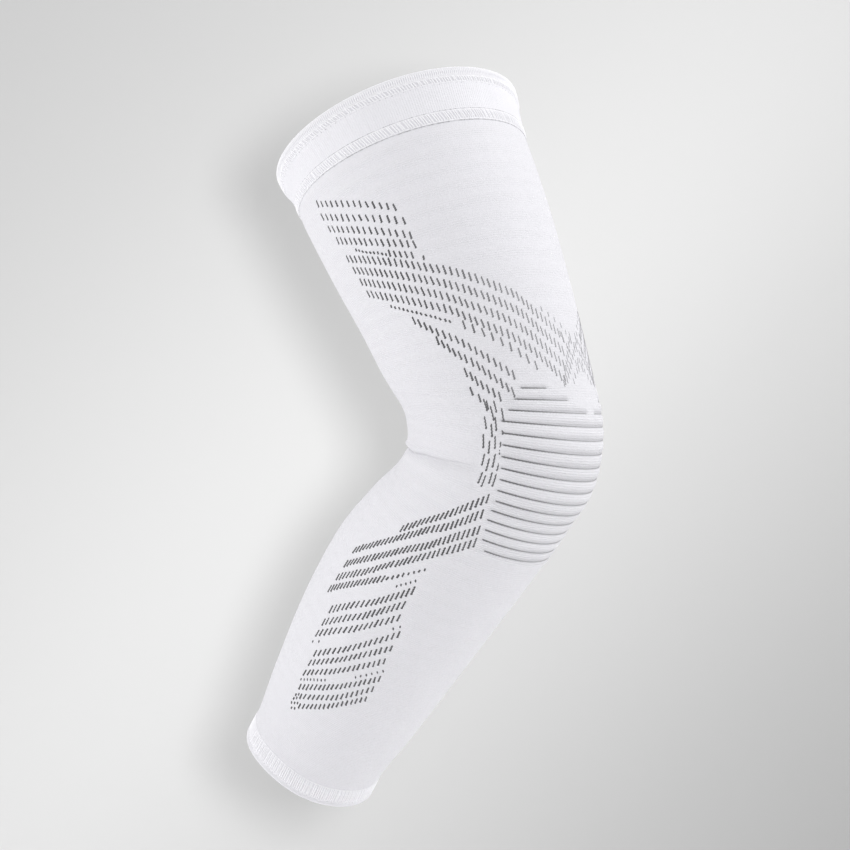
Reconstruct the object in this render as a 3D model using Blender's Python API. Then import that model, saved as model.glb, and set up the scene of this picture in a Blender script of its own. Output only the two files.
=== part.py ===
"""Knee compression sleeve, in the form that it has on a bent knee: a knitted tube with a thigh band, a calf hem
and the stitching that holds them. The origin is the centre of the knee, +X is the front of the knee, +Z is up."""

import math

import bpy
from mathutils import Vector

# Lengths along the centreline of the leg, from the centre of the knee
THIGH_LENGTH = 0.208
CALF_LENGTH = 0.2595

# Both limbs lean back from the vertical, and the centreline turns from one to the other at this radius
THIGH_LEAN_DEGREES = 23.5
CALF_LEAN_DEGREES = 36.5
BEND_RADIUS = 0.050

# Front to back widths of the sleeve
RIM_WIDTH = 0.156
KNEE_WIDTH = 0.118
HEM_WIDTH = 0.088

# Cloth walls, and the gap kept between two pieces
KNIT_WALL = 0.0015
BAND_WALL = 0.0022
HEM_WALL = 0.0022
STITCH_WALL = 0.0010
PIECE_GAP = 0.0003

# Thigh band: its height down to the joint with the knit, and the two rings of stitching on it
BAND_HEIGHT = 0.0265
RIM_STITCH_HEIGHT = 0.0055
SEAM_STITCH_HEIGHT = 0.0055

# Calf hem: its height, its rolled edge and the ring of stitching over its joint
HEM_HEIGHT = 0.0105
HEM_ROLL_HEIGHT = 0.0020
HEM_ROLL_PROUD = 0.0004
HEM_STITCH_HEIGHT = 0.0045

# Grooves across the front of the knee: the top one's height over the centre, their pitch, size and reach
RIB_COUNT = 16
RIB_TOP = 0.032
RIB_PITCH = 0.0055
RIB_DEPTH = 0.0005
RIB_HALF_WIDTH = 0.0012
RIB_FULL_DEGREES = 52
RIB_END_DEGREES = 68

# Fold behind the knee: how far it lies under the centre, its depth, its half width and where round the leg it ends
CREASE_DROP = 0.0135
CREASE_DEPTH = 0.0030
CREASE_HALF_WIDTH = 0.0085
CREASE_FULL_DEGREES = 140
CREASE_END_DEGREES = 84

# Shares of a limb's length, negative down the calf, and how far each ring round the leg dips at the front
TILTS = (
    # along, degrees
    (-1.00, 27),
    (-0.60, 31),
    (-0.25, 30),
    (-0.10, 22),
    (0.00, 13),
    (0.12, 2),
    (0.30, -8),
    (0.60, -17),
    (1.00, -21),
)

# Shares of the limb's length, then the reach from the centreline as shares of the width there
THIGH_SECTIONS = (
    # along, front, back, side
    (0.0, 0.495, 0.520, 0.470),
    (0.2, 0.490, 0.506, 0.470),
    (0.4, 0.500, 0.489, 0.480),
    (0.6, 0.507, 0.496, 0.490),
    (0.75, 0.503, 0.502, 0.489),
    (0.88, 0.497, 0.506, 0.486),
    (1.0, 0.512, 0.510, 0.490),
)
CALF_SECTIONS = (
    # along, front, back, side
    (0.00, 0.495, 0.520, 0.470),
    (0.06, 0.493, 0.500, 0.470),
    (0.11, 0.484, 0.480, 0.470),
    (0.16, 0.488, 0.490, 0.473),
    (0.25, 0.494, 0.546, 0.480),
    (0.40, 0.501, 0.620, 0.490),
    (0.60, 0.515, 0.620, 0.500),
    (0.80, 0.530, 0.555, 0.495),
    (0.93, 0.532, 0.495, 0.480),
    (1.00, 0.560, 0.485, 0.495),
)

# Fineness of the faceted solids
COLUMNS = 36
PLAIN_ROW = 0.0145
SLOPE_STEP = 0.0005


def smooth_between(start, end, value):
    """0 at start, 1 at end, with a soft turn at both."""
    share = min(max((value - start) / (end - start), 0.0), 1.0)
    return share * share * (3 - 2 * share)


def read_table(rows, along, column):
    """The column's value at this share of the length, on a smooth curve through the table's rows."""
    if along <= rows[0][0]:
        return rows[0][column]
    if along >= rows[-1][0]:
        return rows[-1][column]
    first = max(i for i, row in enumerate(rows) if row[0] <= along)
    span = rows[first + 1][0] - rows[first][0]
    share = (along - rows[first][0]) / span

    def slope(i):
        before, after = max(i - 1, 0), min(i + 1, len(rows) - 1)
        return (rows[after][column] - rows[before][column]) / (rows[after][0] - rows[before][0])

    start, end = rows[first][column], rows[first + 1][column]
    start_slope, end_slope = slope(first) * span, slope(first + 1) * span
    curve = 2 * start + start_slope - 2 * end + end_slope
    bend = -3 * start - 2 * start_slope + 3 * end - end_slope
    return start + share * (start_slope + share * (bend + share * curve))


def centreline(along):
    """The point of the leg's centreline at this distance from the knee's centre: an arc with a straight run each way."""
    thigh_lean, calf_lean = math.radians(THIGH_LEAN_DEGREES), math.radians(CALF_LEAN_DEGREES)
    half_arc = BEND_RADIUS * (thigh_lean + calf_lean) / 2
    on_arc = min(max(along, -half_arc), half_arc)
    middle = (calf_lean - thigh_lean) / 2
    heading = middle - on_arc / BEND_RADIUS
    x = BEND_RADIUS * (math.cos(heading) - math.cos(middle)) + (along - on_arc) * math.sin(heading)
    z = BEND_RADIUS * (math.sin(middle) - math.sin(heading)) + (along - on_arc) * math.cos(heading)
    return x, z


def reaches(along):
    """How far the sleeve reaches from the centreline to the front, the back and each side."""
    if along >= 0:
        rows, share, end_width = THIGH_SECTIONS, along / THIGH_LENGTH, RIM_WIDTH
    else:
        rows, share, end_width = CALF_SECTIONS, -along / CALF_LENGTH, HEM_WIDTH
    width = KNEE_WIDTH + (end_width - KNEE_WIDTH) * share
    return [width * read_table(rows, share, column) for column in (1, 2, 3)]


def crease(along, turn):
    """Depth of the fold behind the knee at this height and turn from the front."""
    height = abs(along + CREASE_DROP) / CREASE_HALF_WIDTH
    round_leg = smooth_between(CREASE_END_DEGREES, CREASE_FULL_DEGREES, math.degrees(turn))
    return CREASE_DEPTH * max(1 - height, 0.0) ** 2 * round_leg


def surface(along, angle):
    """The sleeve's outer surface: angle 0 is the front, a quarter turn is the side at -Y, half a turn the back."""
    front, back, side = reaches(along)
    x, z = centreline(along)
    share = along / THIGH_LENGTH if along >= 0 else along / CALF_LENGTH
    tilt = math.radians(read_table(TILTS, share, 1))
    turn = abs(math.remainder(angle, 2 * math.pi))
    dent = crease(along, turn)
    forward = (front if math.cos(angle) > 0 else back - dent) * math.cos(angle)
    sideways = (side - dent * math.sin(turn)) * math.sin(angle)
    return Vector((x + forward * math.cos(tilt), -sideways, z - forward * math.sin(tilt)))


def offset_point(along, angle, offset):
    """The surface's point moved this far outwards, square to the surface."""
    up = surface(along + SLOPE_STEP, angle) - surface(along - SLOPE_STEP, angle)
    round_leg = surface(along, angle + 0.01) - surface(along, angle - 0.01)
    return surface(along, angle) + up.cross(round_leg).normalized() * offset


def ring(name, profile, material, relief=None):
    """A closed piece round the leg. The profile is a closed loop of (along, offset) points: up the outer side, then
    down the inner side. Relief gives the depth of the grooves in the outer side, where the offset is 0."""
    angles = [2 * math.pi * column / COLUMNS for column in range(COLUMNS)]
    points = []
    for along, offset in profile:
        for angle in angles:
            groove = relief(along, angle) if relief and offset == 0 else 0
            points.append(offset_point(along, angle, offset - groove))
    faces = []
    for row in range(len(profile)):
        next_row = (row + 1) % len(profile)
        for column in range(COLUMNS):
            next_column = (column + 1) % COLUMNS
            faces.append(
                (
                    row * COLUMNS + column,
                    next_row * COLUMNS + column,
                    next_row * COLUMNS + next_column,
                    row * COLUMNS + next_column,
                )
            )
    mesh = bpy.data.meshes.new(name)
    mesh.from_pydata(points, [], faces)
    mesh.shade_smooth()
    mesh.set_sharp_from_angle(angle=math.radians(40))
    mesh.materials.append(material)
    piece = bpy.data.objects.new(name, mesh)
    bpy.context.scene.collection.objects.link(piece)
    return piece


def cloth(name, colour, roughness):
    """A matt cloth of one colour."""
    material = bpy.data.materials.new(name)
    material.use_nodes = True
    shader = material.node_tree.nodes["Principled BSDF"]
    shader.inputs["Base Color"].default_value = (*colour, 1)
    shader.inputs["Roughness"].default_value = roughness
    shader.inputs["Metallic"].default_value = 0
    return material


def even_rows(low, high):
    """Heights from low to high, both included, at most a plain row's length apart."""
    count = max(math.ceil((high - low) / PLAIN_ROW), 1)
    return [low + (high - low) * i / count for i in range(count + 1)]


def rib_places():
    """The heights of the grooves across the knee, from the lowest up."""
    return [RIB_TOP - RIB_PITCH * i for i in reversed(range(RIB_COUNT))]


def rib_groove(along, angle):
    """Depth of the knee's grooves: full across the front, fading out at each side."""
    nearest = min(abs(along - place) for place in rib_places())
    turn = math.degrees(abs(math.remainder(angle, 2 * math.pi)))
    fade = 1 - smooth_between(RIB_FULL_DEGREES, RIB_END_DEGREES, turn)
    return RIB_DEPTH * max(1 - nearest / RIB_HALF_WIDTH, 0.0) * fade


def knit_sleeve(material):
    """The knitted tube, from the hem's joint to the band's, with the grooves over the knee."""
    bottom = -CALF_LENGTH + HEM_HEIGHT + PIECE_GAP / 2
    top = THIGH_LENGTH - BAND_HEIGHT - PIECE_GAP / 2
    ribs = rib_places()
    below = even_rows(bottom, ribs[0] - RIB_HALF_WIDTH)
    above = even_rows(ribs[-1] + RIB_HALF_WIDTH, top)
    outer = below + ribs[:1]
    for lower, upper in zip(ribs, ribs[1:]):
        outer += [lower + RIB_HALF_WIDTH, upper - RIB_HALF_WIDTH, upper]
    outer += above
    fold = -CREASE_DROP
    inner = even_rows(bottom, fold - CREASE_HALF_WIDTH)
    inner += [fold - CREASE_HALF_WIDTH * 0.4, fold, fold + CREASE_HALF_WIDTH * 0.4]
    inner += even_rows(fold + CREASE_HALF_WIDTH, top)
    profile = [(along, 0) for along in outer] + [(along, -KNIT_WALL) for along in reversed(inner)]
    return ring("knit_sleeve", profile, material, rib_groove)


def doubled_sides(wall):
    """Outer and inner offsets of a doubled wall, centred on the knit's."""
    extra = (wall - KNIT_WALL) / 2
    return extra, -KNIT_WALL - extra


def thigh_band(material):
    """The doubled band, from its joint with the knit up to the stitching that wraps its rim."""
    outer, inner = doubled_sides(BAND_WALL)
    bottom = THIGH_LENGTH - BAND_HEIGHT + PIECE_GAP / 2
    top = THIGH_LENGTH - STITCH_WALL - PIECE_GAP
    rows = even_rows(bottom, top)
    profile = [(along, outer) for along in rows] + [(along, inner) for along in reversed(rows)]
    return ring("thigh_band", profile, material)


def thigh_rim_stitch(material):
    """The overlock stitching that wraps the rim of the band, outside, over the top and inside."""
    band_outer, band_inner = doubled_sides(BAND_WALL)
    near, far = band_outer + PIECE_GAP, band_outer + PIECE_GAP + STITCH_WALL
    inner_near, inner_far = band_inner - PIECE_GAP, band_inner - PIECE_GAP - STITCH_WALL
    bottom, top = THIGH_LENGTH - RIM_STITCH_HEIGHT, THIGH_LENGTH
    shoulder = top - STITCH_WALL / 2
    under = top - STITCH_WALL
    profile = [(bottom, far), (shoulder, far), (top, near), (top, inner_near), (shoulder, inner_far)]
    profile += [(bottom, inner_far), (bottom, inner_near), (under, inner_near), (under, near), (bottom, near)]
    return ring("thigh_rim_stitch", profile, material)


def seam_ring(name, joint, height, outer, material):
    """A ring of stitching laid outside over a joint between two pieces, one gap clear of them."""
    near, far = outer + PIECE_GAP, outer + PIECE_GAP + STITCH_WALL
    bevel = STITCH_WALL / 2
    bottom, top = joint - height / 2, joint + height / 2
    profile = [(bottom, near + bevel), (bottom + bevel, far), (top - bevel, far), (top, near + bevel)]
    profile += [(top, near), (bottom, near)]
    return ring(name, profile, material)


def calf_hem(material):
    """The doubled hem, with its rolled edge at the bottom."""
    outer, inner = doubled_sides(HEM_WALL)
    top = -CALF_LENGTH + HEM_HEIGHT - PIECE_GAP / 2
    bottom = -CALF_LENGTH
    roll = bottom + HEM_ROLL_HEIGHT
    bevel = HEM_WALL / 4
    profile = [(bottom, outer - bevel), (bottom + bevel, outer + HEM_ROLL_PROUD)]
    profile += [(roll - bevel, outer + HEM_ROLL_PROUD), (roll, outer), (top, outer), (top, inner)]
    profile += [(bottom + bevel, inner), (bottom, inner + bevel)]
    return ring("calf_hem", profile, material)


def build():
    for leftover in list(bpy.data.objects):
        bpy.data.objects.remove(leftover)
    knit_white = cloth("knit_white", (0.78, 0.78, 0.81), 0.85)
    band_white = cloth("band_white", (0.80, 0.80, 0.83), 0.80)
    thread_white = cloth("thread_white", (0.84, 0.84, 0.86), 0.65)
    knit_sleeve(knit_white)
    thigh_band(band_white)
    thigh_rim_stitch(thread_white)
    band_outer = doubled_sides(BAND_WALL)[0]
    seam_ring("band_seam_stitch", THIGH_LENGTH - BAND_HEIGHT, SEAM_STITCH_HEIGHT, band_outer, thread_white)
    calf_hem(band_white)
    hem_outer = doubled_sides(HEM_WALL)[0]
    seam_ring("hem_seam_stitch", -CALF_LENGTH + HEM_HEIGHT, HEM_STITCH_HEIGHT, hem_outer, thread_white)


build()
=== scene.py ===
import math

import bpy
import numpy as np
from mathutils import Matrix, Vector


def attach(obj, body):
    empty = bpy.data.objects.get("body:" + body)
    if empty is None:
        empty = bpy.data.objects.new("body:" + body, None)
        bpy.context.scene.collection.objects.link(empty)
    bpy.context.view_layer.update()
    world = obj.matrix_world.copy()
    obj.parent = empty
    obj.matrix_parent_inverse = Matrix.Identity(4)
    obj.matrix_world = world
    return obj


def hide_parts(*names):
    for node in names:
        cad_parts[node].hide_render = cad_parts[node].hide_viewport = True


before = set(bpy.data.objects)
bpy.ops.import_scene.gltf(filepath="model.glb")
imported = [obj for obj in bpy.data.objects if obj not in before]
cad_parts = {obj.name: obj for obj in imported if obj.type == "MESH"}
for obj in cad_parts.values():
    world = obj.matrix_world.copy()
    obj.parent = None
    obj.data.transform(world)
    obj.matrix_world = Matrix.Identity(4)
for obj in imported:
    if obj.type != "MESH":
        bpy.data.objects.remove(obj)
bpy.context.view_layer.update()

# Photograph's view: azimuth, distance to the knee, focal length and the knee's place in pixels
FRAME_PIXELS = 850
CAMERA_AZIMUTH = math.radians(31)
CAMERA_DISTANCE = 0.66
FOCAL_PIXELS = 1100
KNEE_PIXEL = (504.5, 443.0)
SENSOR_MM = 36.0

# Sleeve's sizes in metres, the same as in the CAD source
THIGH_LENGTH = 0.208
CALF_LENGTH = 0.2595
THIGH_LEAN_DEGREES = 23.5
CALF_LEAN_DEGREES = 36.5
BEND_RADIUS = 0.050
RIM_WIDTH = 0.156
KNEE_WIDTH = 0.118
HEM_WIDTH = 0.088
KNIT_WALL = 0.0015
DOUBLED_WALL = 0.0022
BAND_HEIGHT = 0.0265
HEM_HEIGHT = 0.0105
RIB_COUNT = 16
RIB_TOP = 0.032
RIB_PITCH = 0.0055
# Tilt of the sleeve's rings in degrees, by their share of the thigh's length or, below 0, of the calf's
TILTS = (
    (-1.00, 27), (-0.60, 31), (-0.25, 30), (-0.10, 22), (0.00, 13),
    (0.12, 2), (0.30, -8), (0.60, -17), (1.00, -21),
)
# Reach of the rings to the front, the back and each side, as shares of the sleeve's width there
THIGH_SECTIONS = (
    # along, front, back, side
    (0.0, 0.495, 0.520, 0.470),
    (0.2, 0.490, 0.506, 0.470),
    (0.4, 0.500, 0.489, 0.480),
    (0.6, 0.507, 0.496, 0.490),
    (0.75, 0.503, 0.502, 0.489),
    (0.88, 0.497, 0.506, 0.486),
    (1.0, 0.512, 0.510, 0.490),
)
CALF_SECTIONS = (
    # along, front, back, side
    (0.00, 0.495, 0.520, 0.470),
    (0.06, 0.493, 0.500, 0.470),
    (0.11, 0.484, 0.480, 0.470),
    (0.16, 0.488, 0.490, 0.473),
    (0.25, 0.494, 0.546, 0.480),
    (0.40, 0.501, 0.620, 0.490),
    (0.60, 0.515, 0.620, 0.500),
    (0.80, 0.530, 0.555, 0.495),
    (0.93, 0.532, 0.495, 0.480),
    (1.00, 0.560, 0.485, 0.495),
)

MM = 0.001
TURN = 2 * math.pi
RANDOM = np.random.default_rng(7)

# Fold behind the knee: its line as degrees from the front and mm along the leg, its dent, the soft roll of
# cloth over it, whose middle is a share of the dent's half width, and the degrees where it is full and ends
FOLD_TURNS = (74, 90, 101, 115, 130, 180)
FOLD_PLACES = (-8.5, -10.0, -12.3, -14.4, -18.2, -22.5)
FOLD_DEPTH = 2.4 * MM
FOLD_HALF_WIDTH = 7.0 * MM
ROLL_HEIGHT = 1.1 * MM
ROLL_MIDDLE = 0.42
FOLD_FULL_DEGREES = 126
FOLD_END_DEGREES = 72

# How far the two ends ride up or down behind the leg, and how far the cloth stands off there at the rim
# and draws in under the band
HEM_RISE = 3.4 * MM
RIM_DROP = 1.6 * MM
RIM_FLARE = 1.6 * MM
RIM_WAIST = 1.0 * MM

# Steps over which the surface's own directions are measured
ALONG_STEP = 0.5 * MM
ANGLE_STEP = 0.01

# Meshes of the cloth: columns round each ring, and the distance between rows along the leg
RING_COLUMNS = 240
PLAIN_STEP = 3.4 * MM
PANEL_STEP = 0.55 * MM
INSIDE_STEP = 5.0 * MM
INSIDE_FOLD_STEP = 1.5 * MM

# Yarns and weaves: wales are counted round the leg, courses measured along it
KNIT_WALES = 420
KNIT_COURSE = 1.15 * MM
COURSE_LINES = 1.3 * MM
BAND_WALES = 380
BAND_COURSE = 0.9 * MM
BAND_RIBS = 165
CLOTH_BUMP = 0.14 * MM
YARN_BUMP = 0.06 * MM

# Greys of the cloth: two that drift over it and a lighter one, painted highlight, on its raised strands, then
# the grey that painted shade runs to and that of faded yarn
KNIT_GREYS = (0.75, 0.79, 0.88)
BAND_GREYS = (0.83, 0.865, 0.91)
SHADE_GREY = 0.34
PALE_YARN_GREY = 0.50

# Ribbed panel across the knee: its lower edge and its top beside the knee in mm, how far the top dips at the
# front, and the half angles between which it ends
PANEL_FOOT = -54
PANEL_TOP = 35
PANEL_DIP = 12
PANEL_HALF_ANGLES = (56, 62)

# Middle of the knitted pattern, in degrees from the front
PATTERN_CENTRE = 5

# Stripes across the knee from the top down: their places along the leg, the half angle that each covers on
# both sides of the pattern's centre, and that of the notch that leaves the middle of the top three bare
STRIPE_PLACES = RIB_TOP - RIB_PITCH * np.arange(RIB_COUNT)
STRIPE_HALF_ANGLES = (46, 51, 56, 61, 61, 61, 61, 60, 59, 58, 56, 55, 54, 52, 50, 45)
NOTCH_HALF_ANGLES = (30, 18, 4) + (0,) * (RIB_COUNT - 3)

# Points along each stripe, its stitches, and the groove and ridge that it pulls into the cloth
STRIPE_POINTS = 220
STITCHES_PER_DEGREE = 17 / 35
GROOVE_DEPTH = 0.55 * MM
GROOVE_REACH = 1.5 * MM
RIDGE_HEIGHT = 0.45 * MM

# Soft grey beside each stripe, painted shade of its groove and partly grey yarn showing through the cloth
# above it, with (beside the knee, at its front) pairs for the side above the stripe
SHADE_ABOVE = (0.30, 0.46)
SHADE_REACH = (2.6 * MM, 3.1 * MM)
SHADE_FALL = (1.5, 1.0)
SHADE_BELOW = 0.28
SHADE_BELOW_REACH = 0.7 * MM

# Painted shade in the line of the fold and on the slope under it
CREASE_SHADE = 0.34
CREASE_HALF_WIDTH = 0.9 * MM
SLOPE_SHADE = 0.15

# Half widths of the dashes in mm, the points along each, the leg's mm to a degree in their rows, and the fade
# of their yarn as (degrees, fade) rows
DASH_WIDTH = 0.52
SIDE_DASH_WIDTH = 0.46
FINE_DASH_WIDTH = 0.38
DASH_POINTS = 15
MM_PER_DEGREE = 1.05
FADE_ABOVE_KNEE = ((20, 45, 62, 72, 86), (0.68, 0.42, 0.20, 0.12, 0.0))
FADE_BELOW_KNEE = ((60, 90), (0.06, 0.0))
FADE_OF_STRIPES = ((12, 30, 52), (0.55, 0.40, 0.0))


# Surface of the sleeve

def smooth_between(start, end, value):
    """0 at start, 1 at end, with a soft turn at both."""
    share = np.clip((value - start) / (end - start), 0, 1)
    return share * share * (3 - 2 * share)


def read_table(rows, share, column):
    """The column's value at this share of the length, on a smooth curve through the table's rows."""
    table = np.array(rows, float)
    place, value = table[:, 0], table[:, column]
    slopes = np.empty(len(place))
    slopes[1:-1] = (value[2:] - value[:-2]) / (place[2:] - place[:-2])
    slopes[0] = (value[1] - value[0]) / (place[1] - place[0])
    slopes[-1] = (value[-1] - value[-2]) / (place[-1] - place[-2])
    share = np.clip(share, place[0], place[-1])
    first = np.clip(np.searchsorted(place, share, side="right") - 1, 0, len(place) - 2)
    span = place[first + 1] - place[first]
    part = (share - place[first]) / span
    start, end = value[first], value[first + 1]
    start_slope, end_slope = slopes[first] * span, slopes[first + 1] * span
    curve = 2 * start + start_slope - 2 * end + end_slope
    bend = -3 * start - 2 * start_slope + 3 * end - end_slope
    return start + part * (start_slope + part * (bend + part * curve))


def centreline(along):
    """The point of the leg's centreline at this distance from the knee's centre."""
    thigh_lean, calf_lean = math.radians(THIGH_LEAN_DEGREES), math.radians(CALF_LEAN_DEGREES)
    half_arc = BEND_RADIUS * (thigh_lean + calf_lean) / 2
    on_arc = np.clip(along, -half_arc, half_arc)
    middle = (calf_lean - thigh_lean) / 2
    heading = middle - on_arc / BEND_RADIUS
    x = BEND_RADIUS * (np.cos(heading) - math.cos(middle)) + (along - on_arc) * np.sin(heading)
    z = BEND_RADIUS * (math.sin(middle) - np.sin(heading)) + (along - on_arc) * np.cos(heading)
    return x, z


def turn_from_front(angle):
    """Degrees round the leg from the front, the same on both sides."""
    return np.degrees(np.abs(np.remainder(angle + math.pi, TURN) - math.pi))


def turn_from_pattern(angle):
    """Degrees round the leg from the pattern's centre, the same on both sides."""
    return np.abs(np.degrees(np.remainder(angle + math.pi, TURN) - math.pi) - PATTERN_CENTRE)


def fold_line(turn):
    """The fold's place along the leg, for degrees round it from the front."""
    return np.interp(turn, FOLD_TURNS, FOLD_PLACES) * MM


def fold_depth(along, angle):
    """Depth of the fold behind the knee: a sharp line under a soft roll, and a longer slope below it."""
    turn = turn_from_front(angle)
    height = (along - fold_line(turn)) / FOLD_HALF_WIDTH
    slope = np.clip(1 - np.where(height > 0, height * 2.2, -height), 0, 1)
    roll = smooth_between(ROLL_MIDDLE, 0, np.abs(height - ROLL_MIDDLE))
    dent = FOLD_DEPTH * slope ** 2 - ROLL_HEIGHT * roll
    return dent * smooth_between(FOLD_END_DEGREES, FOLD_FULL_DEGREES, turn)


def end_shift(along, angle):
    """How far the rings near the two ends ride along the leg behind it."""
    turn = turn_from_front(angle)
    hem = HEM_RISE * smooth_between(45, 105, turn) * smooth_between(-0.20, -0.255, along)
    rim = RIM_DROP * smooth_between(25, 115, turn) * smooth_between(0.178, 0.206, along)
    return hem - rim


def rim_flare(along):
    """How far the cloth stands off the back of the leg at the rim, after a slight waist under the band."""
    waist = smooth_between(0.168, 0.184, along) * smooth_between(0.198, 0.186, along)
    return RIM_FLARE * smooth_between(0.190, 0.207, along) - RIM_WAIST * waist


def surface(along, angle):
    """The sleeve's outer surface. Angle 0 is the front and a quarter turn the side at -Y."""
    along, angle = np.broadcast_arrays(np.asarray(along, float), np.asarray(angle, float))
    along = along + end_shift(along, angle)
    up = along >= 0
    share = np.where(up, along / THIGH_LENGTH, along / CALF_LENGTH)
    width = KNEE_WIDTH + (np.where(up, RIM_WIDTH, HEM_WIDTH) - KNEE_WIDTH) * np.abs(share)
    front, back, side = (
        width * np.where(
            up, read_table(THIGH_SECTIONS, share, column), read_table(CALF_SECTIONS, -share, column))
        for column in (1, 2, 3)
    )
    x, z = centreline(along)
    tilt = np.radians(read_table(TILTS, share, 1))
    dent = fold_depth(along, angle) - rim_flare(along)
    forward = np.where(np.cos(angle) > 0, front, back - dent) * np.cos(angle)
    sideways = (side - dent * np.abs(np.sin(angle))) * np.sin(angle)
    return np.stack([x + forward * np.cos(tilt), -sideways, z - forward * np.sin(tilt)], -1)


def unit(vectors):
    """The vectors at length 1."""
    return vectors / np.linalg.norm(vectors, axis=-1, keepdims=True)


def skin(along, angle, lift=0.0):
    """The surface's points moved outwards by lift, and the directions square to it there."""
    along, angle, lift = np.broadcast_arrays(*(np.asarray(x, float) for x in (along, angle, lift)))
    up = surface(along + ALONG_STEP, angle) - surface(along - ALONG_STEP, angle)
    round_leg = surface(along, angle + ANGLE_STEP) - surface(along, angle - ANGLE_STEP)
    normal = unit(np.cross(up, round_leg))
    return surface(along, angle) + normal * lift[..., None], normal


# Meshes

def add_object(name, data):
    """A new object in the scene that holds this data."""
    added = bpy.data.objects.new(name, data)
    bpy.context.scene.collection.objects.link(added)
    return added


def add_piece(name, points, faces, material, nodes=(), uv=None, shades=None):
    """A shown piece of the sleeve, in place of these CAD nodes. Shades are named values, one a point."""
    mesh = bpy.data.meshes.new(name)
    mesh.from_pydata(points.reshape(-1, 3).tolist(), [], faces)
    if uv is not None:
        mesh.uv_layers.new(name="UVMap").data.foreach_set("uv", uv.astype(np.float32).ravel())
    for label, values in (shades or {}).items():
        layer = mesh.attributes.new(label, "FLOAT", "POINT")
        layer.data.foreach_set("value", values.astype(np.float32).ravel())
    mesh.shade_smooth()
    mesh.materials.append(material)
    piece = add_object(name, mesh)
    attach(piece, "root")
    if nodes:
        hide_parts(*nodes)


def ring_faces(rows, columns):
    """Faces of a closed loop of rows round the leg, and each corner's row number and turns round the leg."""
    row, column = (grid.ravel() for grid in np.meshgrid(np.arange(rows), np.arange(columns), indexing="ij"))
    next_row, next_column = (row + 1) % rows, (column + 1) % columns
    faces = np.stack(
        [row * columns + column, next_row * columns + column, next_row * columns + next_column,
         row * columns + next_column], -1)
    corner_rows = np.stack([row, next_row, next_row, row], -1)
    corner_turns = np.stack([column, column, column + 1, column + 1], -1) / columns
    return faces.tolist(), corner_rows, corner_turns


def cloth_ring(name, profile, material, node, relief=None, shades=None):
    """A closed piece round the leg. The profile is a closed loop of (along, lift) points, up the outer side
    and down the inner one. Relief and shades are functions of place, used on the outer side, where the lift
    isn't negative."""
    along, lift = (np.array(values)[:, None] for values in zip(*profile))
    angle = np.linspace(0, TURN, RING_COLUMNS, endpoint=False)[None, :]
    outer = lift >= 0
    height = lift + (np.where(outer, relief(along, angle), 0) if relief else 0)
    points = skin(along, angle, height)[0]
    faces, corner_rows, corner_turns = ring_faces(len(profile), RING_COLUMNS)
    uv = np.stack([corner_turns, along[:, 0][corner_rows]], -1)
    values = {label: np.where(outer, shade(along, angle), 0) for label, shade in (shades or {}).items()}
    add_piece(name, points, faces, material, [node], uv, values)


def tubes(name, along, angle, lift, thick, wide, material, sides=6, closed=False, pale=None):
    """Strands that lie on the surface: along, angle, lift, thick and wide have one row a strand and one value
    a point. Thick is half the height of the strand's section, wide half its width. Pale lightens the yarn."""
    along, angle, lift, thick, wide = np.broadcast_arrays(along, angle, lift, thick, wide)
    strands, count = along.shape
    middle, normal = skin(along, angle, lift)
    if closed:
        run = np.roll(middle, -1, 1) - np.roll(middle, 1, 1)
    else:
        run = np.gradient(middle, axis=1)
    across = unit(np.cross(unit(run), normal))
    phase = np.linspace(0, TURN, sides, endpoint=False)
    points = (
        middle[:, :, None]
        + normal[:, :, None] * (np.sin(phase)[:, None] * thick[:, :, None, None])
        + across[:, :, None] * (np.cos(phase)[:, None] * wide[:, :, None, None])
    )
    rings = count if closed else count - 1
    strand, ring, side = (grid.ravel() for grid in np.meshgrid(
        np.arange(strands), np.arange(rings), np.arange(sides), indexing="ij"))
    first, second = strand * count + ring, strand * count + (ring + 1) % count
    next_side = (side + 1) % sides
    faces = np.stack([first * sides + side, first * sides + next_side, second * sides + next_side,
                      second * sides + side], -1).tolist()
    if not closed:
        for start in range(strands):
            head, tail = start * count * sides, (start * count + count - 1) * sides
            faces.append([head + i for i in reversed(range(sides))])
            faces.append([tail + i for i in range(sides)])
    shades = {} if pale is None else {"pale": np.repeat(np.broadcast_to(pale, along.shape).ravel(), sides)}
    add_piece(name, points, faces, material, shades=shades)


# Materials

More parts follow.
